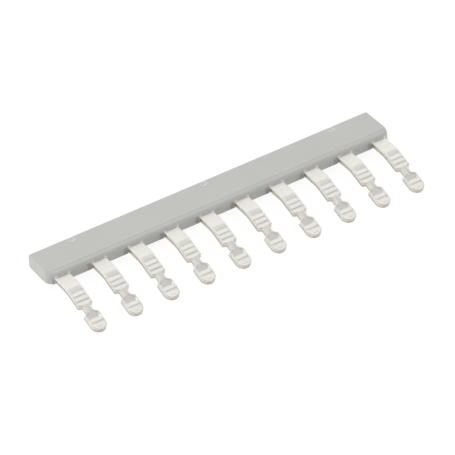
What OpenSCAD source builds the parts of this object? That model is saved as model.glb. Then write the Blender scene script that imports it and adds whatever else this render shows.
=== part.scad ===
// Insulated jumper bar for a row of terminal blocks.
// A comb of tinned copper tongues is moulded into a flat plastic bar. Each tongue
// bends down to its block, and the comb inside the bar links all of them.
// All sizes are in millimetres. The bar is drawn square, with its front face on
// y = 0 and its underside on z = 0, and then laid down as it rests on a table.

/* [Row of tongues] */
// Number of blocks that the bar links
poles = 10; // [3:1:20]
// Distance from one tongue to the next
pitch = 6.2; // [5:0.1:12]

/* [Insulating bar] */
// From the middle of an outer tongue to the end of the bar
end_reach = 2.35; // [2.2:0.05:4]
// Depth of the bar from its front face to its rear face
bar_depth = 6.55; // [6:0.05:9]
// Height of the bar from its underside to its flat top
bar_height = 1.85; // [1.7:0.05:3]
// From the front face back to the crease where the flat top ends
crease_setback = 1; // [0.85:0.05:1.5]
// Step down from the flat top at the crease
crease_drop = 0.05; // [0.02:0.01:0.1]
// Slope of the brow, which runs down from the crease to the nose
brow_slope = 6; // [3:1:20]
// Radius of the nose between the brow and the front face
nose_radius = 0.6; // [0.3:0.05:0.7]
// Radius of the heel, the lower rear edge that the bar stands on
heel_radius = 0.5; // [0.2:0.05:0.7]
// Radius of the two upright front corners
corner_radius = 1.7; // [0.3:0.05:2]
// Radius of the two upright rear corners
rear_radius = 0.45; // [0.1:0.05:0.6]
// Radius of the upper edge at each end
end_radius = 0.4; // [0.1:0.05:0.5]

/* [Gate marks] */
// From each end of the bar to the middle of the outer gate marks
gate_inset = 7.2; // [5:0.2:9]
// Width of the low ring that is left at each gate
gate_width = 1.2; // [0.8:0.1:1.6]
// Room between the ring and the rear face
gate_margin = 0.05; // [0.05:0.05:0.5]
// How far the ring stands above the flat top
gate_rise = 0.05; // [0.02:0.01:0.1]
// Width of the crater inside the ring
crater_width = 0.7; // [0.3:0.05:0.75]
// Depth of the crater below the flat top
crater_depth = 0.1; // [0.05:0.01:0.3]

/* [Slots] */
// Room on each side of a tongue where it leaves the front face
slot_margin = 0.1; // [0.05:0.05:0.5]
// Depth of that room behind the front face
slot_depth = 0.6; // [0.2:0.1:0.9]
// Gap between the plastic and the metal inside the bar
mould_gap = 0.02; // [0.01:0.01:0.05]

/* [Contact comb] */
// Thickness of the copper sheet
sheet = 0.8; // [0.5:0.05:0.9]
// Height of the sheet's underside above the underside of the bar
sheet_rise = 0.18; // [0.1:0.02:0.4]
// From the front face back to the hidden spine that joins the tongues
spine_setback = 1.3; // [1.1:0.1:1.6]
// Depth of the spine
spine_depth = 3.2; // [2:0.1:3.4]
// How far the spine reaches past the sides of the outer tongues
spine_end = 0.3; // [0.1:0.05:0.4]
// Width of a tongue
tongue_width = 2.45; // [2.4:0.05:3]

/* [Tongue shape] */
// Level stretch between the front face and the bend
level_reach = 2.5; // [1:0.1:5]
// Inside radius of the bend
bend_radius = 4; // [1:0.1:8]
// Angle that a tongue bends down
bend_angle = 18.9; // [10:0.1:35]
// Straight stretch between the bend and the shoulders
shank_length = 2.75; // [2:0.05:6]
// Radius of the shoulders at the end of the shank
shoulder_radius = 0.35; // [0.1:0.05:0.35]
// Radius of the hollow where the shoulders run into the neck
neck_radius = 0.2; // [0.1:0.05:0.2]
// Length of the narrow neck
neck_length = 1.15; // [0.4:0.05:2]
// Width of the narrow neck
neck_width = 1.25; // [0.6:0.05:1.25]
// Length over which the neck flares out to the head
flare_length = 0.5; // [0.3:0.05:1.5]
// Length of the head from its back corners to its round tip
head_length = 3.15; // [2.5:0.05:5]

/* [Teeth on the upper face] */
// Distance from one tooth to the next
tooth_pitch = 0.94; // [0.7:0.01:1.5]
// Depth of the teeth
tooth_depth = 0.1; // [0.04:0.01:0.15]
// Length of the short steep front of a tooth
tooth_front = 0.32; // [0.15:0.01:0.5]
// How far the crests of the teeth stay below the face of the sheet
crest_drop = 0.02; // [0.01:0.01:0.03]
// From the end of the bend to the bottom of the first tooth
tooth_start = 0.1; // [0:0.05:0.5]
// Length of the slope that leads down to it over the bend
tooth_lead = 1; // [0.5:0.1:1.5]
// Number of teeth along the shank
shank_teeth = 3; // [1:1:3]
// Depth of the ramp that runs from the last of these teeth over the neck
ramp_depth = 0.25; // [0.1:0.01:0.35]
// From the back corners of the head to the low end of the ramp
ramp_inset = 0.85; // [0.2:0.05:0.9]
// Length of the rise from there to the tooth on the head
ramp_rise = 0.62; // [0.3:0.02:0.9]

/* [Hidden] */

$fn = 64;
// How far a cutting shape reaches past the surface that it cuts
over = 0.5;

bar_length = (poles - 1) * pitch + 2 * end_reach;
spine_length = (poles - 1) * pitch + tongue_width + 2 * spine_end;
tongue_places = [for (i = [0 : poles - 1]) (i - (poles - 1) / 2) * pitch];
gate_places = [-1, 0, 1] * (bar_length / 2 - gate_inset);
gate_centre = bar_depth - gate_margin - gate_width / 2;
plastic_grey = [0.76, 0.765, 0.745];
tin_plate = [0.9, 0.9, 0.87];

// Places along a tongue, measured from the end of its bend
neck_end = shank_length + neck_length;
head_start = neck_end + flare_length;
blade_length = head_start + head_length;
ramp_low = head_start + ramp_inset;
ramp_end = ramp_low + ramp_rise;

// Where each tongue starts inside the spine, as a distance behind the front face
tongue_root = spine_setback + spine_depth / 2;
// Number of flats that make up the bend, and the nose of the bar
bend_steps = 12;
nose_steps = 12;

// Side view of the bent sheet: [y, z] at this angle round the bend and height in the sheet
function bend_point(angle, height) = [
    -level_reach - (bend_radius + height) * sin(angle),
    sheet_rise - bend_radius + (bend_radius + height) * cos(angle)
];

// The same past the bend, at this run along the blade
function blade_point(run, height) =
    bend_point(bend_angle, height) - run * [cos(bend_angle), sin(bend_angle)];

// The part stands on its heel and on the lower edges of the tongue tips
tip_under = blade_point(blade_length, 0);
tip_top = blade_point(blade_length, sheet);
heel_span = [bar_depth - heel_radius, heel_radius] - tip_under;
rest_tilt = atan2(heel_span[1], heel_span[0]) - asin(heel_radius / norm(heel_span));

function rest_y(point) = point[0] * cos(rest_tilt) + point[1] * sin(rest_tilt);
function rest_z(point) = point[1] * cos(rest_tilt) - point[0] * sin(rest_tilt);
rear_y = rest_y([bar_depth, bar_height]);
front_y = min(rest_y(tip_under), rest_y(tip_top));

// Lays the square drawing down at rest, over the middle of the part's own footprint
module at_rest() {
    translate([0, -(rear_y + front_y) / 2, -rest_z(tip_under)])
        rotate([-rest_tilt, 0, 0])
            children();
}

module both_sides() {
    for (side = [0, 1])
        mirror([side, 0, 0])
            children();
}

// The square outside a quarter circle: cut off to round a corner, or added to fill one
module corner_waste(radius) {
    difference() {
        square(radius + over);
        circle(r = radius);
    }
}

// Side view of the bar: flat top, crease, sloping brow, round nose and round heel
module bar_side() {
    brow_end = bar_height - crease_drop - crease_setback * tan(brow_slope);
    nose_centre = [nose_radius, brow_end + nose_radius * (tan(brow_slope) - 1 / cos(brow_slope))];
    nose = [for (i = [0 : nose_steps])
        let (angle = brow_slope + (90 - brow_slope) * i / nose_steps)
            nose_centre + nose_radius * [-sin(angle), cos(angle)]];
    top = [[bar_depth, bar_height], [crease_setback, bar_height], [crease_setback, bar_height - crease_drop]];
    difference() {
        polygon(concat(top, nose, [[0, 0], [bar_depth, 0]]));
        translate([bar_depth - heel_radius, heel_radius])
            rotate(-90)
                corner_waste(heel_radius);
    }
}

// The moulded outside of the bar
module bar_block() {
    difference() {
        rotate([90, 0, 90])
            linear_extrude(bar_length, center = true)
                bar_side();
        both_sides() {
            translate([bar_length / 2 - corner_radius, corner_radius, -over])
                rotate(-90)
                    linear_extrude(bar_height + 2 * over)
                        corner_waste(corner_radius);
            translate([bar_length / 2 - rear_radius, bar_depth - rear_radius, -over])
                linear_extrude(bar_height + 2 * over)
                    corner_waste(rear_radius);
            translate([bar_length / 2 - end_radius, bar_depth + over, bar_height - end_radius])
                rotate([90, 0, 0])
                    linear_extrude(bar_depth + 2 * over)
                        corner_waste(end_radius);
        }
    }
}

// Low ring on the flat top where the plastic tore off at a gate of the mould
module gate_ring() {
    translate([0, gate_centre, bar_height - over])
        cylinder(d = gate_width, h = over + gate_rise);
}

// Crater in the middle of the ring
module gate_crater() {
    translate([0, gate_centre, bar_height - crater_depth])
        cylinder(d = crater_width, h = crater_depth + over);
}

// Room for the spine and one channel and slot for each tongue
module comb_cavity() {
    channel_width = tongue_width + 2 * mould_gap;
    channel_height = sheet + 2 * mould_gap;
    slot_width = tongue_width + 2 * slot_margin;
    translate([-spine_length / 2 - mould_gap, spine_setback - mould_gap, sheet_rise - mould_gap])
        cube([spine_length + 2 * mould_gap, spine_depth + 2 * mould_gap, channel_height]);
    for (x = tongue_places)
        translate([x, 0, 0]) {
            translate([-channel_width / 2, -over, sheet_rise - mould_gap])
                cube([channel_width, spine_setback + over, channel_height]);
            translate([-slot_width / 2, -over, -over])
                cube([slot_width, slot_depth + over, sheet_rise + sheet + mould_gap + over]);
        }
}

module insulating_bar() {
    color(plastic_grey)
        at_rest()
            difference() {
                union() {
                    bar_block();
                    for (x = gate_places)
                        translate([x, 0, 0])
                            gate_ring();
                }
                for (x = gate_places)
                    translate([x, 0, 0])
                        gate_crater();
                comb_cavity();
            }
}

// Side view of what is pressed out of the upper face, seen from above: teeth, ramp and tooth on the head.
// The first and last slopes run on above the face, so that they cross it.
module pressed_side() {
    head_back = tooth_pitch - tooth_front;
    translate([0, sheet])
        polygon(concat(
            [[tooth_start - 2 * tooth_lead, tooth_depth]],
            [for (i = [0 : shank_teeth - 1], crest = [0, 1])
                crest == 0
                    ? [tooth_start + i * tooth_pitch, -tooth_depth]
                    : [tooth_start + (i + 1) * tooth_pitch - tooth_front, -crest_drop]],
            [
                [ramp_low, -ramp_depth], [ramp_end, -crest_drop],
                [ramp_end + tooth_front, -tooth_depth], [ramp_end + tooth_front + 2 * head_back, tooth_depth]
            ]
        ));
}

// Side view of the bent and pressed sheet, from inside the spine to past the tips
module sheet_side() {
    turns = [for (i = [0 : bend_steps]) i * bend_angle / bend_steps];
    back_turns = [for (i = [bend_steps : -1 : 0]) turns[i]];
    difference() {
        polygon(concat(
            [[tongue_root, sheet_rise], [tongue_root, sheet_rise + sheet]],
            [for (angle = turns) bend_point(angle, sheet)],
            [blade_point(blade_length + over, sheet), blade_point(blade_length + over, 0)],
            [for (angle = back_turns) bend_point(angle, 0)]
        ));
        translate(bend_point(bend_angle, 0))
            rotate(bend_angle)
                mirror([1, 0])
                    pressed_side();
    }
}

// Outline of a tongue, seen square to its blade: shank, shoulders, neck and arrow-shaped head
module tongue_outline() {
    half = tongue_width / 2;
    half_neck = neck_width / 2;
    tip_centre = blade_length - half;
    strap_run = tongue_root + level_reach + bend_radius + sheet;
    difference() {
        translate([-half, -strap_run])
            square([tongue_width, strap_run + shank_length]);
        both_sides()
            translate([half - shoulder_radius, shank_length - shoulder_radius])
                corner_waste(shoulder_radius);
    }
    polygon([
        [-half_neck, 0], [half_neck, 0], [half_neck, neck_end], [half, head_start], [half, tip_centre],
        [-half, tip_centre], [-half, head_start], [-half_neck, neck_end]
    ]);
    both_sides()
        translate([half_neck + neck_radius, shank_length + neck_radius])
            rotate(180)
                corner_waste(neck_radius);
    translate([0, tip_centre])
        circle(d = tongue_width);
}

// The bent sheet, stamped out to the outline of every tongue
module tongues() {
    stamp_depth = 2 * (tongue_root + level_reach + blade_length);
    intersection() {
        rotate([90, 0, 90])
            linear_extrude(bar_length, center = true)
                sheet_side();
        translate([0, bend_point(bend_angle, 0)[0], bend_point(bend_angle, 0)[1]])
            rotate([-bend_angle, 0, 180])
                linear_extrude(stamp_depth, center = true)
                    for (x = tongue_places)
                        translate([x, 0])
                            tongue_outline();
    }
}

module contact_comb() {
    color(tin_plate)
        at_rest() {
            translate([-spine_length / 2, spine_setback, sheet_rise])
                cube([spine_length, spine_depth, sheet]);
            tongues();
        }
}

insulating_bar();
contact_comb();
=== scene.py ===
from math import cos, hypot, radians, sin, sqrt, tan

import bmesh
import bpy
from mathutils import Matrix, Vector, kdtree, noise
from mathutils.geometry import delaunay_2d_cdt


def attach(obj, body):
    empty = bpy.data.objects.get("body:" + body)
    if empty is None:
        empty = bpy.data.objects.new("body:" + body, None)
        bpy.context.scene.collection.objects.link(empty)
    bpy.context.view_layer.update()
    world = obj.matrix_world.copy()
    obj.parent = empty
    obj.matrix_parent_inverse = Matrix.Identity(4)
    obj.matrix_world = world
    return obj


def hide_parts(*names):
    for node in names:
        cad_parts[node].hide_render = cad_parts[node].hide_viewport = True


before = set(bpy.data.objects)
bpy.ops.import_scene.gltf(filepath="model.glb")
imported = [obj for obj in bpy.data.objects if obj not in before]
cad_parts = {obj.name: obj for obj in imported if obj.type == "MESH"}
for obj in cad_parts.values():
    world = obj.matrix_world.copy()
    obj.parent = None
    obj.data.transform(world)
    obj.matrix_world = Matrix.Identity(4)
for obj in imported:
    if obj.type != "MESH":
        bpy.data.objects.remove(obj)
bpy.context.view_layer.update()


# Insulating bar
# One grey polyamide bar, injection moulded round the comb, which it grips. The flat top ends at a
# crease, the front edge is a round nose, and each tongue leaves through a slot in the lower front.

# The part is drawn square, in millimetres, with the front face of the bar on y = 0 and its underside
# on z = 0. It comes to rest tipped up, on the lower rear edge of the bar and the tips of the tongues.
rest_shift = (0, 2.29052, 0.877748)
rest_tilt = radians(-8.29201)
lay_down = (
    Matrix.Scale(0.001, 4) @ Matrix.Translation(rest_shift) @ Matrix.Rotation(rest_tilt, 4, "X")
)
stand_up = lay_down.inverted()

tongue_count = 10
tongue_pitch = 6.2
tongue_places = [(i - (tongue_count - 1) / 2) * tongue_pitch for i in range(tongue_count)]

bar_length = 60.5
bar_depth = 6.55
bar_height = 1.85
crease_setback = 1.0
crease_drop = 0.05
brow_slope = 6
nose_radius = 0.6
heel_radius = 0.5
toe_radius = 0.04
rear_edge_radius = 0.03
rear_edge_margin = 0.08
slot_half_width = 1.245
slot_depth = 0.6
slot_top = 0.985


def arc(centre, radius, first_angle, last_angle, steps):
    """Points of an arc in a plane, with its angles in degrees."""
    angles = [radians(first_angle + (last_angle - first_angle) * i / steps) for i in range(steps + 1)]
    return [(centre[0] + radius * cos(a), centre[1] + radius * sin(a)) for a in angles]


# The worn crease as (distance behind the crease, depth below the flat top)
crease_line = (
    (-0.12, crease_drop + 0.013),
    (-0.03, crease_drop + 0.003),
    (0.01, 0.032),
    (0.04, 0.01),
    (0.08, 0),
    (0.12, 0),
)

# Side view of the bar as (y, z), from the top of a slot over the nose, the top and the heel to the
# rear of the slot. Between the slots the toe closes it, and at a slot its inner corner does.
brow_end = bar_height - crease_drop - crease_setback * tan(radians(brow_slope))
nose_height = brow_end + nose_radius * (tan(radians(brow_slope)) - 1 / cos(radians(brow_slope)))
rear_edge_centre = (bar_depth - rear_edge_radius, bar_height - rear_edge_radius)
bar_back = (
    [(0, slot_top)]
    + arc((nose_radius, nose_height), nose_radius, 180, 90 + brow_slope, steps=12)
    + [(crease_setback + behind, bar_height - depth) for behind, depth in crease_line]
    + [(bar_depth - rear_edge_margin, bar_height)]
    + arc(rear_edge_centre, rear_edge_radius, 90, 0, steps=4)
    + arc((bar_depth - heel_radius, heel_radius), heel_radius, 0, -90, steps=12)
    + [(slot_depth, 0)]
)
bar_toe = arc((toe_radius, toe_radius), toe_radius, -90, -180, steps=3)
slot_corner = [(slot_depth, slot_top)]

# The ends lean in a little towards the top. Their front corners are well rounded, and the other
# edges less. Each rounding is strongest at its own edge and fades out away from it.
end_lean = 0.1
front_corner_radius, front_corner_fade = 1.7, 2
rear_corner_radius, rear_corner_fade = 0.45, 1
end_top_radius, end_top_start, end_top_swell = 0.4, 0.9, 1.5
end_foot_radius, end_foot_fade = 0.03, 0.6


def set_in(radius, distance):
    """How far a rounded edge stands in at this distance from the end of the bar."""
    if distance >= radius:
        return 0
    return radius - sqrt(radius**2 - (radius - distance) ** 2)


def bar_point(x, y, z):
    """A point of the side view at x, drawn in where the ends of the bar are rounded."""
    distance = bar_length / 2 - abs(x)
    at_front = max(0, 1 - y / front_corner_fade)
    at_rear = max(0, 1 - (bar_depth - y) / rear_corner_fade)
    at_top = max(0, (z - end_top_start) / (bar_height - end_top_start)) ** end_top_swell
    at_foot = max(0, 1 - z / end_foot_fade)
    lean = end_lean * z / bar_height
    y += set_in(front_corner_radius, distance) * at_front - set_in(rear_corner_radius, distance) * at_rear
    z += set_in(end_foot_radius, distance) * at_foot - set_in(end_top_radius, distance) * at_top
    return x * (1 - 2 * lean / bar_length), y, z


def is_in_slot(x, margin=0):
    """Whether this place along the bar lies in a slot."""
    return any(abs(x - place) < slot_half_width + margin for place in tongue_places)


corner_start = bar_length / 2 - front_corner_radius
end_steps = [corner_start + x for x, y in arc((0, 0), front_corner_radius, 90, 0, steps=16)]
slot_sides = [place + side * slot_half_width for place in tongue_places for side in (-1, 1)]
stations = sorted([-x for x in end_steps] + end_steps + slot_sides)

block = bmesh.new()
rings = []
for x in stations:
    ring = {}
    for part, line in (("back", bar_back), ("toe", bar_toe), ("corner", slot_corner)):
        if part != "corner" or is_in_slot(x, margin=0.001):
            ring[part] = [block.verts.new(bar_point(x, y, z)) for y, z in line]
    rings.append(ring)


def skin(near, far):
    """A strip of faces between two rows of the same number of points."""
    for a, b, c, d in zip(near, near[1:], far[1:], far):
        block.faces.new((a, b, c, d))


def underside(ring, part):
    """The row of points that closes a ring below, by way of its toe or of the corner of a slot."""
    return ring["back"][-1:] + ring[part] + ring["back"][:1]


for near, far, x, next_x in zip(rings, rings[1:], stations, stations[1:]):
    below = "corner" if is_in_slot((x + next_x) / 2) else "toe"
    skin(near["back"], far["back"])
    skin(underside(near, below), underside(far, below))
for x, ring in zip(stations, rings):
    if x in slot_sides:
        block.faces.new([ring["back"][-1], *ring["toe"], ring["back"][0], ring["corner"][0]])
for ring in (rings[0], rings[-1]):
    block.faces.new(ring["back"] + ring["toe"])
bmesh.ops.recalc_face_normals(block, faces=block.faces)
bar_mesh = bpy.data.meshes.new("insulating_bar_visual")
block.to_mesh(bar_mesh)
block.free()
bar = bpy.data.objects.new("insulating_bar_visual", bar_mesh)
bpy.context.collection.objects.link(bar)

# Gate marks: by the rear edge of the top, three low rings with a crater, where the plastic tore off
# when the mould was opened. Each is turned from a profile of (radius, height), roughened and set
# into a hole in the bar.
gate_places = (-23.05, 0, 23.05)
gate_centre = 5.81
gate_profile = (
    (0.06, 1.77),
    (0.18, 1.772),
    (0.31, 1.79),
    (0.42, 1.845),
    (0.51, 1.88),
    (0.58, 1.895),
    (0.64, 1.885),
    (0.69, 1.8),
    (0.69, 1.5),
)
hole_profile = ((0.56, 1.6), (0.56, 2.4))
gate_sides = 48
torn_from, torn_to = 0.1, 0.64
torn_depth = 0.03
torn_fineness = 5


def turned(name, profile, tearing):
    """One closed body for each gate, turned from a profile and torn to this depth."""
    body = bmesh.new()
    for place in gate_places:
        hoops = []
        for radius, height in profile:
            hoop = []
            for i in range(gate_sides):
                angle = radians(360 * i / gate_sides)
                x, y = place + radius * cos(angle), gate_centre + radius * sin(angle)
                is_torn = torn_from < radius < torn_to
                torn = tearing * noise.noise((x * torn_fineness, y * torn_fineness, 0)) if is_torn else 0
                hoop.append(body.verts.new((x, y, height + torn)))
            hoops.append(hoop)
        for inner, outer in zip(hoops, hoops[1:]):
            for i in range(gate_sides):
                body.faces.new((inner[i - 1], inner[i], outer[i], outer[i - 1]))
        body.faces.new(hoops[0])
        body.faces.new(hoops[-1])
    bmesh.ops.recalc_face_normals(body, faces=body.faces)
    body_mesh = bpy.data.meshes.new(name)
    body.to_mesh(body_mesh)
    body.free()
    turned_body = bpy.data.objects.new(name, body_mesh)
    bpy.context.collection.objects.link(turned_body)
    return turned_body


gate_holes = turned("gate holes", hole_profile, 0)
gate_rings = turned("gate rings", gate_profile, torn_depth)
for tool, operation in ((gate_holes, "DIFFERENCE"), (gate_rings, "UNION")):
    cut = bar.modifiers.new(tool.name, "BOOLEAN")
    cut.operation = operation
    cut.solver = "EXACT"
    cut.object = tool

merge_distance = 0.001
sharp_angle = radians(35)


def make_plain(piece):
    """Makes the modified object a plain mesh with smooth faces and sharp edges, laid down at rest."""
    shape = bpy.data.meshes.new_from_object(piece.evaluated_get(bpy.context.evaluated_depsgraph_get()))
    piece.modifiers.clear()
    piece.data = shape
    shape.name = piece.name
    cleaned = bmesh.new()
    cleaned.from_mesh(shape)
    bmesh.ops.remove_doubles(cleaned, verts=cleaned.verts, dist=merge_distance)
    bmesh.ops.dissolve_degenerate(cleaned, edges=cleaned.edges, dist=merge_distance)
    cleaned.to_mesh(shape)
    cleaned.free()
    shape.transform(lay_down)
    shape.shade_smooth()
    shape.set_sharp_from_angle(angle=sharp_angle)


make_plain(bar)
bpy.data.objects.remove(gate_holes)
bpy.data.objects.remove(gate_rings)

# The torn plastic is strained and paler in the crater; the rim round it is paler still, partly from
# strain and partly as a painted highlight where the raised rim catches the light
rim_radius, rim_half_width = 0.5, 0.15
rim_strain_and_highlight, crater_strain = 0.55, 0.2
strain_and_highlight = bar.data.attributes.new("strain_and_highlight", "FLOAT", "POINT")
for vertex, pale_share in zip(bar.data.vertices, strain_and_highlight.data):
    x, y, z = stand_up @ vertex.co
    radius = min(hypot(x - place, y - gate_centre) for place in gate_places)
    on_rim = rim_strain_and_highlight * (1 - abs(radius - rim_radius) / rim_half_width)
    pale_share.value = max(on_rim, crater_strain if radius < rim_radius else 0)

# Grey with faint clouding from the flow of the plastic
darker_grey, lighter_grey = (0.515, 0.523, 0.49, 1), (0.55, 0.558, 0.525, 1)
# A pale grey for the strained gates and for painted light: the painted bounce above the tongues and part
# of the gate rims' highlight
pale_grey_for_strain_and_light = (0.85, 0.86, 0.82, 1)
# A darker grey for the painted shade beside each tongue
painted_shade_grey = (0.42, 0.418, 0.39, 1)
moulded_grey = bpy.data.materials.new("moulded grey polyamide")
moulded_grey.use_nodes = True
nodes, links = moulded_grey.node_tree.nodes, moulded_grey.node_tree.links
plastic = nodes["Principled BSDF"]
plastic.inputs["Specular IOR Level"].default_value = 0.38
place_on_bar = nodes.new("ShaderNodeTexCoord")
clouding = nodes.new("ShaderNodeTexNoise")
clouding.inputs["Scale"].default_value = 260
clouding.inputs["Detail"].default_value = 4
links.new(place_on_bar.outputs["Object"], clouding.inputs["Vector"])
grey = nodes.new("ShaderNodeMix")
grey.data_type = "RGBA"
grey.inputs["A"].default_value = darker_grey
grey.inputs["B"].default_value = lighter_grey
links.new(clouding.outputs["Fac"], grey.inputs["Factor"])

# Places on the front as they are drawn: the distance from the middle of the nearest gap between two
# tongues, and the distance to the right of the gap's middle on the left
as_drawn = nodes.new("ShaderNodeMapping")
as_drawn.inputs["Location"].default_value = stand_up.translation
as_drawn.inputs["Rotation"].default_value = stand_up.to_euler()
as_drawn.inputs["Scale"].default_value = stand_up.to_scale()
links.new(place_on_bar.outputs["Object"], as_drawn.inputs["Vector"])
drawn = nodes.new("ShaderNodeSeparateXYZ")
links.new(as_drawn.outputs["Vector"], drawn.inputs["Vector"])
from_gap = nodes.new("ShaderNodeMath")
from_gap.operation = "PINGPONG"
from_gap.inputs[1].default_value = tongue_pitch / 2
links.new(drawn.outputs["X"], from_gap.inputs[0])
right_of_gap = nodes.new("ShaderNodeMath")
right_of_gap.operation = "FLOORED_MODULO"
right_of_gap.inputs[1].default_value = tongue_pitch
links.new(drawn.outputs["X"], right_of_gap.inputs[0])


def overlap(bands):
    """The product of bands, each of which goes from one value to another between two places."""
    found = None
    for measure, first_place, last_place, first_value, last_value in bands:
        band = nodes.new("ShaderNodeMapRange")
        band.inputs["From Min"].default_value = first_place
        band.inputs["From Max"].default_value = last_place
        band.inputs["To Min"].default_value = first_value
        band.inputs["To Max"].default_value = last_value
        links.new(measure, band.inputs["Value"])
        if found:
            product = nodes.new("ShaderNodeMath")
            product.operation = "MULTIPLY"
            links.new(found, product.inputs[0])
            links.new(band.outputs["Result"], product.inputs[1])
            found = product.outputs[0]
        else:
            found = band.outputs["Result"]
    return found


# Painted light on the front just above each tongue, standing for light thrown back onto the plastic by
# the bright tongue, strongest at its corners
half_gap = tongue_pitch / 2 - slot_half_width
on_front = (drawn.outputs["Y"], 0.2, 0.4, 1, 0)
painted_bounce_light = overlap(
    (
        (from_gap.outputs[0], half_gap - 0.15, half_gap + 0.05, 0, 1),
        (from_gap.outputs[0], half_gap + 0.2, half_gap + 0.5, 0.95, 0.1),
        on_front,
        (drawn.outputs["Z"], slot_top + 0.15, slot_top + 0.45, 1, 0),
    )
)

# Painted shade on the front by the left side of each tongue, where the tongue shadows the plastic
painted_shade_beside_tongue = overlap(
    (
        (right_of_gap.outputs[0], half_gap - 0.95, half_gap - 0.65, 0, 1),
        (right_of_gap.outputs[0], half_gap - 0.2, half_gap - 0.05, 1, 0),
        on_front,
        (drawn.outputs["Z"], slot_top + 0.1, slot_top + 0.4, 1, 0),
    )
)
painted_shade_mix = nodes.new("ShaderNodeMix")
painted_shade_mix.data_type = "RGBA"
painted_shade_mix.inputs["B"].default_value = painted_shade_grey
links.new(painted_shade_beside_tongue, painted_shade_mix.inputs["Factor"])
links.new(grey.outputs["Result"], painted_shade_mix.inputs["A"])
# Paler where the gates are strained or carry their painted rim highlight, and where painted light falls
# above each tongue
reads_strain_and_highlight = nodes.new("ShaderNodeAttribute")
reads_strain_and_highlight.attribute_name = "strain_and_highlight"
strain_and_painted_light = nodes.new("ShaderNodeMath")
strain_and_painted_light.operation = "MAXIMUM"
links.new(reads_strain_and_highlight.outputs["Fac"], strain_and_painted_light.inputs[0])
links.new(painted_bounce_light, strain_and_painted_light.inputs[1])
paled_by_strain_and_light = nodes.new("ShaderNodeMix")
paled_by_strain_and_light.data_type = "RGBA"
paled_by_strain_and_light.inputs["B"].default_value = pale_grey_for_strain_and_light
links.new(strain_and_painted_light.outputs[0], paled_by_strain_and_light.inputs["Factor"])
links.new(painted_shade_mix.outputs["Result"], paled_by_strain_and_light.inputs["A"])
links.new(paled_by_strain_and_light.outputs["Result"], plastic.inputs["Base Color"])

# Matt grain, as a spark-eroded mould leaves it
grain = nodes.new("ShaderNodeTexNoise")
grain.inputs["Scale"].default_value = 7000
grain.inputs["Detail"].default_value = 3
links.new(place_on_bar.outputs["Object"], grain.inputs["Vector"])
grain_bump = nodes.new("ShaderNodeBump")
grain_bump.inputs["Strength"].default_value = 0.25
grain_bump.inputs["Distance"].default_value = 0.00002
links.new(grain.outputs["Fac"], grain_bump.inputs["Height"])
links.new(grain_bump.outputs["Normal"], plastic.inputs["Normal"])
mattness = nodes.new("ShaderNodeMapRange")
mattness.inputs["To Min"].default_value = 0.46
mattness.inputs["To Max"].default_value = 0.62
links.new(grain.outputs["Fac"], mattness.inputs["Value"])
links.new(mattness.outputs["Result"], plastic.inputs["Roughness"])

bar.data.materials.append(moulded_grey)
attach(bar, "root")
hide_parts("insulating_bar")


# Contact comb
# One piece stamped from tin-plated copper sheet: ten tongues on a spine that is hidden in the bar. Each
# tongue bends down, is pressed into teeth across its upper face, and has a neck and a round head.
sheet = 0.8
sheet_rise = 0.18
level_reach = 2.5
bend_radius = 4
bend_angle = radians(18.9)
bend_length = (bend_radius + sheet) * bend_angle
half_tongue = 1.225
half_neck = 0.625
spine_length = 58.85
spine_depth = 3.2
spine_middle = 2.9

# Lengths along the flat tongue, measured from the end of the bend towards the tip
tongue_root = -7.0
inside_bar = -4.6
shank_length = 2.75
neck_end = 3.9
head_start = 4.4
blade_length = 7.55
tip_centre = blade_length - half_tongue
shoulder_radius = 0.35
neck_radius = 0.2


def even(first, last, spacing):
    """Evenly spaced points from the first towards the last, without the last itself."""
    count = max(1, round(hypot(last[0] - first[0], last[1] - first[1]) / spacing))
    return [tuple(a + (b - a) * i / count for a, b in zip(first, last)) for i in range(count)]


# Outline of a tongue as (across, along)
shoulder = (half_tongue - shoulder_radius, shank_length - shoulder_radius)
hollow = (half_neck + neck_radius, shank_length + neck_radius)
right_side = (
    even((half_tongue, tongue_root), (half_tongue, inside_bar), spacing=0.6)
    + even((half_tongue, inside_bar), (half_tongue, shoulder[1]), spacing=0.1)
    + arc(shoulder, shoulder_radius, 0, 90, steps=8)
    + arc(hollow, neck_radius, 270, 180, steps=6)[:-1]
    + even((half_neck, hollow[1]), (half_neck, neck_end), spacing=0.1)
    + even((half_neck, neck_end), (half_tongue, head_start), spacing=0.09)
    + even((half_tongue, head_start), (half_tongue, tip_centre), spacing=0.1)
    + arc((0, tip_centre), half_tongue, 0, 90, steps=24)
)
tongue_outline = right_side + [(-across, along) for across, along in reversed(right_side[:-1])]
outline_size = len(tongue_outline)
sharpest_mitre = 0.6


def drawn_in(distance):
    """The outline of a tongue moved inwards by this distance."""
    moved = []
    previous = tongue_outline[-1:] + tongue_outline
    following = tongue_outline[1:] + tongue_outline[:1]
    for before, point, after in zip(previous, tongue_outline, following):
        normals = []
        for a, b in ((before, point), (point, after)):
            length = hypot(b[0] - a[0], b[1] - a[1])
            normals.append(Vector(((a[1] - b[1]) / length, (b[0] - a[0]) / length)))
        inward = (normals[0] + normals[1]).normalized()
        inward /= max(sharpest_mitre, inward.dot(normals[0]))
        moved.append((point[0] + distance * inward.x, point[1] + distance * inward.y))
    return moved


# Depth of the pressing along the tongue: ratchet teeth with a short steep front and a long back, and
# at the neck a ramp that ends against the teeth of the head
pressed = (
    (-0.9, 0),
    (-0.55, 0.06),
    (0.1, 0.135),
    (0.45, 0.087),
    (0.74, 0.02),
    (1.02, 0.075),
    (1.68, 0.01),
    (1.97, 0.08),
    (2.6, 0.01),
    (3.1, 0.05),
    (3.95, 0.11),
    (5.25, 0.285),
    (5.87, 0.1),
    (6.2, 0.15),
    (6.95, 0.08),
    (7.1, 0.1),
    (7.55, 0.06),
)
wear_steps = (-0.05, -0.025, 0, 0.025, 0.05)
tooth_end_inset, tooth_fade, least_tooth = 0.1, 0.3, 0.25

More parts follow.
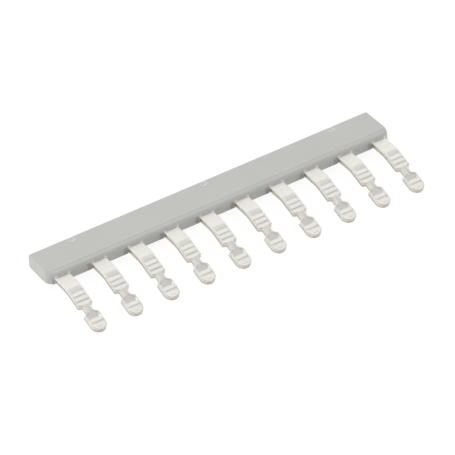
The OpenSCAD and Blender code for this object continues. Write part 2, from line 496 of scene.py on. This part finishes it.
# The punch has rolled the upper edges over, less at the tip and towards the bar
roll_width = 0.28
roll_depth = 0.13
sharper_at_tip = 0.65
sharper_at_root = 0.4
root_start = -1


def read_off(table, along):
    """The value that a table of (along, value) gives at one place along the tongue."""
    for (a, value_a), (b, value_b) in zip(table, table[1:]):
        if a <= along < b:
            return value_a + (value_b - value_a) * (along - a) / (b - a)
    return table[-1][1] if along >= table[-1][0] else table[0][1]


def share(distance):
    """This distance held between 0 and 1."""
    return min(1, max(0, distance))


def upper_face(along, inset):
    """Height of the upper face: the worn teeth fade towards the rolled edges."""
    depth = sum(read_off(pressed, along + offset) for offset in wear_steps) / len(wear_steps)
    fade = min(1, max(least_tooth, (inset - tooth_end_inset) / tooth_fade))
    roll = 1 - sharper_at_tip * share(along - tip_centre) - sharper_at_root * share(root_start - along)
    slope = max(0, 1 - inset / (roll_width * roll))
    return sheet - depth * fade - roll_depth * roll * (1 - sqrt(1 - slope**2))


def bent(across, along, height):
    """The place in the square drawing of a point of the flat sheet, after the bend."""
    angle = bend_angle * share(1 + along / bend_length)
    past, before = max(0, along), max(0, -bend_length - along)
    y = before - level_reach - (bend_radius + height) * sin(angle) - past * cos(bend_angle)
    z = sheet_rise - bend_radius + (bend_radius + height) * cos(angle) - past * sin(bend_angle)
    return across, y, z


edge_spacing = 0.01
edge_places = [
    place
    for a, b in zip(tongue_outline, tongue_outline[1:])
    for place in even(a, b, edge_spacing)
]
sheared_edge = kdtree.KDTree(len(edge_places))
for i, (across, along) in enumerate(edge_places):
    sheared_edge.insert((across, along, 0), i)
sheared_edge.balance()


def from_edge(across, along):
    """Distance of a point of the flat sheet from the sheared edge."""
    return sheared_edge.find((across, along, 0))[2]


# The upper face is laid out flat: the outline, rings inside it for the rolled edge, and rows of points
# across the middle, close together where the teeth are
plan = []
fence = []
for distance in (0, 0.02, 0.06, 0.12, 0.2, roll_width):
    first = len(plan)
    plan += drawn_in(distance)
    fence += [(first + (i - 1) % outline_size, first + i) for i in range(outline_size)]
wide_rows = [-6.5 + 0.25 * i for i in range(20)]
close_rows = [-1.4 + 0.055 * i for i in range(158)]
columns = [0.115 * i for i in range(-8, 9)]
clear_of_rings = roll_width + 0.05
for along in wide_rows + close_rows:
    half_width = half_neck if shank_length < along < head_start else half_tongue
    for across in columns:
        on_tongue = abs(across) < half_width and along < blade_length
        if on_tongue and from_edge(across, along) > clear_of_rings:
            plan.append((across, along))

fill_inside_fence = 1
same_point = 1e-7


def fill_in(flat_points, flat_edges):
    """Triangles that fill a fenced plan: its points, its faces and the points that each came from."""
    points, _, faces, origins, _, _ = delaunay_2d_cdt(
        [Vector(p) for p in flat_points], flat_edges, [], fill_inside_fence, same_point
    )
    return points, faces, origins


# Along the edges the tin of the upper face is worn and the copper shows through, more so on the blade.
# Close to the bar the tin has been handled less and is still dull.
worn_width = 0.15
least_wear, blade_wear = 0.1, 0.25
blade_wear_start, blade_wear_rise = -1.5, 2
dull_start = -2.8
tongue_shape = bmesh.new()
upper_points, upper_faces, upper_origins = fill_in(plan, fence)
upper = []
for across, along in upper_points:
    height = upper_face(along, from_edge(across, along))
    upper.append(tongue_shape.verts.new(bent(across, along, height)))
sheared = tongue_shape.faces.layers.float.new("sheared")
dull = tongue_shape.faces.layers.float.new("dull")
for face in upper_faces:
    inset = sum(from_edge(*upper_points[i]) for i in face) / len(face)
    along = sum(upper_points[i][1] for i in face) / len(face)
    wear = least_wear + blade_wear * share((along - blade_wear_start) / blade_wear_rise)
    top = tongue_shape.faces.new([upper[i] for i in face])
    top[sheared] = wear * max(0, 1 - inset / worn_width)
    top[dull] = share(dull_start - along)

# Below the rolled edge the punch has drawn the tin down over the upper half of the sides. The lower half
# has torn and is bare, down to a slightly broken edge. A row is (distance inwards, height, bareness).
side_rows = ((0, 0.55, 0.5), (0, 0.03, 1), (0.03, 0, 1))
# How bare the sides are along the tongue: less copper from the shoulder to near the tip, partly as a
# painted lighter side standing for light bounced up from the floor
bareness_and_painted_bounce = ((2.2, 1), (2.8, 0.75), (3.3, 0.85), (5.6, 0.85), (6.6, 0.72), (7.3, 0.8), (7.5, 1.4))
at_edge = {
    i: vertex for vertex, origins in zip(upper, upper_origins) for i in origins if i < outline_size
}
above = [at_edge[i] for i in range(outline_size)]
for distance, height, bare in side_rows:
    line = drawn_in(distance) if distance else tongue_outline
    below = [tongue_shape.verts.new(bent(across, along, height)) for across, along in line]
    for i in range(outline_size):
        side = tongue_shape.faces.new((above[i - 1], above[i], below[i], below[i - 1]))
        side[sheared] = min(1, bare * read_off(bareness_and_painted_bounce, tongue_outline[i][1]))
    above = below
_, lower_faces, lower_origins = fill_in(drawn_in(side_rows[-1][0]), fence[:outline_size])
for face in lower_faces:
    tongue_shape.faces.new([above[lower_origins[i][0]] for i in face])
bmesh.ops.recalc_face_normals(tongue_shape, faces=tongue_shape.faces)
tongue_mesh = bpy.data.meshes.new("contact_comb_visual")
tongue_shape.to_mesh(tongue_mesh)
tongue_shape.free()
comb = bpy.data.objects.new("contact_comb_visual", tongue_mesh)
bpy.context.collection.objects.link(comb)

# Satin tin with a faint bloom, and bare copper where the sheet is sheared
darker_tin, lighter_tin = (0.89, 0.88, 0.815, 1), (0.95, 0.942, 0.882, 1)
darker_copper, lighter_copper = (0.44, 0.378, 0.328, 1), (0.62, 0.548, 0.49, 1)
tin_plate = bpy.data.materials.new("tin plate on copper")
tin_plate.use_nodes = True
nodes, links = tin_plate.node_tree.nodes, tin_plate.node_tree.links
metal = nodes["Principled BSDF"]
place_on_comb = nodes.new("ShaderNodeTexCoord")
bloom = nodes.new("ShaderNodeTexNoise")
bloom.inputs["Scale"].default_value = 900
bloom.inputs["Detail"].default_value = 5
links.new(place_on_comb.outputs["Object"], bloom.inputs["Vector"])
tin = nodes.new("ShaderNodeMix")
tin.data_type = "RGBA"
tin.inputs["A"].default_value = darker_tin
tin.inputs["B"].default_value = lighter_tin
links.new(bloom.outputs["Fac"], tin.inputs["Factor"])
copper = nodes.new("ShaderNodeMix")
copper.data_type = "RGBA"
copper.inputs["A"].default_value = darker_copper
copper.inputs["B"].default_value = lighter_copper
links.new(bloom.outputs["Fac"], copper.inputs["Factor"])
is_sheared = nodes.new("ShaderNodeAttribute")
is_sheared.attribute_name = "sheared"
surface = nodes.new("ShaderNodeMix")
surface.data_type = "RGBA"
links.new(is_sheared.outputs["Fac"], surface.inputs["Factor"])
links.new(tin.outputs["Result"], surface.inputs["A"])
links.new(copper.outputs["Result"], surface.inputs["B"])
links.new(surface.outputs["Result"], metal.inputs["Base Color"])

is_dull = nodes.new("ShaderNodeAttribute")
is_dull.attribute_name = "dull"
shine = nodes.new("ShaderNodeMapRange")
shine.inputs["To Min"].default_value = 0.75
shine.inputs["To Max"].default_value = 0.15
links.new(is_dull.outputs["Fac"], shine.inputs["Value"])
links.new(shine.outputs["Result"], metal.inputs["Metallic"])

# Faint rolling marks along the tongue
rolling = nodes.new("ShaderNodeMapping")
rolling.inputs["Scale"].default_value = (9000, 700, 3000)
links.new(place_on_comb.outputs["Object"], rolling.inputs["Vector"])
marks = nodes.new("ShaderNodeTexNoise")
marks.inputs["Scale"].default_value = 1
marks.inputs["Detail"].default_value = 3
links.new(rolling.outputs["Vector"], marks.inputs["Vector"])
satin = nodes.new("ShaderNodeMapRange")
satin.inputs["To Min"].default_value = 0.34
satin.inputs["To Max"].default_value = 0.48
links.new(marks.outputs["Fac"], satin.inputs["Value"])
links.new(satin.outputs["Result"], metal.inputs["Roughness"])
marks_bump = nodes.new("ShaderNodeBump")
marks_bump.inputs["Strength"].default_value = 0.12
marks_bump.inputs["Distance"].default_value = 0.00001
links.new(marks.outputs["Fac"], marks_bump.inputs["Height"])
links.new(marks_bump.outputs["Normal"], metal.inputs["Normal"])

# The row: the tongue is repeated along the bar and joined by the spine
row_tree = bpy.data.node_groups.new("tongue row", "GeometryNodeTree")
row_nodes, row_links = row_tree.nodes, row_tree.links
sockets = {}
for name, kind in (
    ("Tongue", "NodeSocketGeometry"),
    ("Count", "NodeSocketInt"),
    ("Pitch", "NodeSocketFloat"),
    ("Spine size", "NodeSocketVector"),
    ("Spine place", "NodeSocketVector"),
    ("Metal", "NodeSocketMaterial"),
):
    sockets[name] = row_tree.interface.new_socket(name, in_out="INPUT", socket_type=kind).identifier
row_tree.interface.new_socket("Comb", in_out="OUTPUT", socket_type="NodeSocketGeometry")
given = row_nodes.new("NodeGroupInput").outputs
gap_count = row_nodes.new("ShaderNodeMath")
gap_count.operation = "SUBTRACT"
gap_count.inputs[1].default_value = 1
row_links.new(given["Count"], gap_count.inputs[0])
row_length = row_nodes.new("ShaderNodeMath")
row_length.operation = "MULTIPLY"
row_links.new(gap_count.outputs[0], row_length.inputs[0])
row_links.new(given["Pitch"], row_length.inputs[1])
row_start = row_nodes.new("ShaderNodeMath")
row_start.operation = "MULTIPLY"
row_start.inputs[1].default_value = -0.5
row_links.new(row_length.outputs[0], row_start.inputs[0])
first_place = row_nodes.new("ShaderNodeCombineXYZ")
row_links.new(row_start.outputs[0], first_place.inputs["X"])
next_place = row_nodes.new("ShaderNodeCombineXYZ")
row_links.new(given["Pitch"], next_place.inputs["X"])
places = row_nodes.new("GeometryNodeMeshLine")
row_links.new(given["Count"], places.inputs["Count"])
row_links.new(first_place.outputs[0], places.inputs["Start Location"])
row_links.new(next_place.outputs[0], places.inputs["Offset"])
repeated = row_nodes.new("GeometryNodeInstanceOnPoints")
row_links.new(places.outputs["Mesh"], repeated.inputs["Points"])
row_links.new(given["Tongue"], repeated.inputs["Instance"])
spine = row_nodes.new("GeometryNodeMeshCube")
row_links.new(given["Spine size"], spine.inputs["Size"])
spine_set = row_nodes.new("GeometryNodeTransform")
row_links.new(spine.outputs["Mesh"], spine_set.inputs["Geometry"])
row_links.new(given["Spine place"], spine_set.inputs["Translation"])
joined = row_nodes.new("GeometryNodeJoinGeometry")
row_links.new(repeated.outputs["Instances"], joined.inputs[0])
row_links.new(spine_set.outputs["Geometry"], joined.inputs[0])
realized = row_nodes.new("GeometryNodeRealizeInstances")
row_links.new(joined.outputs[0], realized.inputs[0])
plated = row_nodes.new("GeometryNodeSetMaterial")
row_links.new(realized.outputs[0], plated.inputs["Geometry"])
row_links.new(given["Metal"], plated.inputs["Material"])
finished_comb = row_nodes.new("NodeGroupOutput")
row_links.new(plated.outputs[0], finished_comb.inputs[0])

stamping = comb.modifiers.new("tongue row", "NODES")
stamping.node_group = row_tree
stamping[sockets["Count"]] = tongue_count
stamping[sockets["Pitch"]] = tongue_pitch
stamping[sockets["Spine size"]] = (spine_length, spine_depth, sheet)
stamping[sockets["Spine place"]] = (0, spine_middle, sheet_rise + sheet / 2)
stamping[sockets["Metal"]] = tin_plate
make_plain(comb)

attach(comb, "root")
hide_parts("contact_comb")


# Studio
# A white floor that keeps a faint shadow, in a room that grows brighter from the front left to the
# back right. One softbox stands low on the left and a weaker one low in front.
floor_half_width = 3
floor_shape = bmesh.new()
bmesh.ops.create_grid(floor_shape, x_segments=1, y_segments=1, size=floor_half_width)
floor_mesh = bpy.data.meshes.new("floor")
floor_shape.to_mesh(floor_mesh)
floor_shape.free()
floor = bpy.data.objects.new("floor", floor_mesh)
bpy.context.collection.objects.link(floor)
white_floor = bpy.data.materials.new("white floor")
white_floor.use_nodes = True
nodes, links = white_floor.node_tree.nodes, white_floor.node_tree.links
nodes.remove(nodes["Principled BSDF"])


def seen_directly():
    """1 for a ray from the camera, a reflection or glass, and 0 for a ray that only brings light."""
    ray = nodes.new("ShaderNodeLightPath")
    camera_or_glossy = nodes.new("ShaderNodeMath")
    camera_or_glossy.operation = "MAXIMUM"
    links.new(ray.outputs["Is Camera Ray"], camera_or_glossy.inputs[0])
    links.new(ray.outputs["Is Glossy Ray"], camera_or_glossy.inputs[1])
    any_of_three = nodes.new("ShaderNodeMath")
    any_of_three.operation = "MAXIMUM"
    links.new(camera_or_glossy.outputs[0], any_of_three.inputs[0])
    links.new(ray.outputs["Is Transmission Ray"], any_of_three.inputs[1])
    return any_of_three.outputs[0]


# The floor gives light back as a plain white surface. Seen directly, it glows almost white, and a weak
# diffuse part on top of the glow shows the shadow.
plain_white = nodes.new("ShaderNodeBsdfDiffuse")
plain_white.inputs["Color"].default_value = (0.92, 0.92, 0.92, 1)
shadow_part = nodes.new("ShaderNodeBsdfDiffuse")
shadow_part.inputs["Color"].default_value = (0.12, 0.12, 0.12, 1)
glow = nodes.new("ShaderNodeEmission")
glow.inputs["Strength"].default_value = 0.915
as_seen = nodes.new("ShaderNodeAddShader")
links.new(shadow_part.outputs[0], as_seen.inputs[0])
links.new(glow.outputs[0], as_seen.inputs[1])
floor_mix = nodes.new("ShaderNodeMixShader")
links.new(seen_directly(), floor_mix.inputs["Fac"])
links.new(plain_white.outputs[0], floor_mix.inputs[1])
links.new(as_seen.outputs[0], floor_mix.inputs[2])
links.new(floor_mix.outputs[0], nodes["Material Output"].inputs["Surface"])
floor_mesh.materials.append(white_floor)

room = bpy.data.worlds.new("studio room")
bpy.context.scene.world = room
room.use_nodes = True
nodes, links = room.node_tree.nodes, room.node_tree.links
direction = nodes.new("ShaderNodeTexCoord")
from_front = nodes.new("ShaderNodeVectorMath")
from_front.operation = "DOT_PRODUCT"
from_front.inputs[1].default_value = (0.35, 0.937, 0)
links.new(direction.outputs["Generated"], from_front.inputs[0])

# Light that the room gives: it rises evenly from the front left to the back right
soft_light = nodes.new("ShaderNodeMapRange")
soft_light.inputs["From Min"].default_value = -1
soft_light.inputs["To Min"].default_value = 0.18
soft_light.inputs["To Max"].default_value = 1.47
links.new(from_front.outputs["Value"], soft_light.inputs["Value"])
fill = nodes["Background"]
fill.inputs["Color"].default_value = (1, 1, 1, 1)
links.new(soft_light.outputs["Result"], fill.inputs["Strength"])

# The same room as the metal mirrors it, in shades of (share of the way to the back right, level)
wall_shades = ((0.1, 0.45), (0.34, 0.4), (0.54, 0.37), (0.67, 0.61), (0.79, 1.08), (0.95, 0.83))
how_far_back = nodes.new("ShaderNodeMapRange")
how_far_back.inputs["From Min"].default_value = -1
links.new(from_front.outputs["Value"], how_far_back.inputs["Value"])
shade = nodes.new("ShaderNodeValToRGB")
stops = shade.color_ramp.elements
stops[0].position, stops[1].position = wall_shades[0][0], wall_shades[-1][0]
for position, _ in wall_shades[1:-1]:
    stops.new(position)
for stop, (_, level) in zip(stops, wall_shades):
    stop.color = (level, level, level, 1)
links.new(how_far_back.outputs["Result"], shade.inputs["Fac"])
room_ray = nodes.new("ShaderNodeLightPath")
backdrop = nodes.new("ShaderNodeMix")
backdrop.data_type = "RGBA"
backdrop.inputs["B"].default_value = (1, 1, 1, 1)
links.new(room_ray.outputs["Is Camera Ray"], backdrop.inputs["Factor"])
links.new(shade.outputs["Color"], backdrop.inputs["A"])
mirrored = nodes.new("ShaderNodeBackground")
links.new(backdrop.outputs["Result"], mirrored.inputs["Color"])
room_mix = nodes.new("ShaderNodeMixShader")
links.new(seen_directly(), room_mix.inputs["Fac"])
links.new(fill.outputs[0], room_mix.inputs[1])
links.new(mirrored.outputs[0], room_mix.inputs[2])
links.new(room_mix.outputs[0], nodes["World Output"].inputs["Surface"])

for name, stand, width, power in (
    ("left softbox", (-0.5, 0.1, 0.12), 0.4, 1.15),
    ("front softbox", (0.2, -0.5, 0.09), 0.35, 0.68),
):
    lamp = bpy.data.lights.new(name, "AREA")
    lamp.size = width
    lamp.energy = power
    softbox = bpy.data.objects.new(name, lamp)
    softbox.location = stand
    softbox.rotation_euler = (-softbox.location).to_track_quat("-Z", "Y").to_euler()
    bpy.context.collection.objects.link(softbox)

# The camera stands to the left in front of the part, well above it, with a long lens
azimuth, elevation, camera_distance = radians(-31.936), radians(43.831), 0.49119
target = Vector((-0.000935, 0.000022, 0))
lens_pixels, picture_pixels = 3279.1, 455
sensor_width = 36
backwards = Vector((sin(azimuth) * cos(elevation), -cos(azimuth) * cos(elevation), sin(elevation)))
eye = bpy.data.cameras.new("camera")
eye.sensor_width = sensor_width
eye.lens = sensor_width * lens_pixels / picture_pixels
camera = bpy.data.objects.new("camera", eye)
camera.location = target + camera_distance * backwards
camera.rotation_euler = (-backwards).to_track_quat("-Z", "Y").to_euler()
bpy.context.collection.objects.link(camera)
bpy.context.scene.camera = camera
bpy.context.scene.view_settings.view_transform = "Standard"
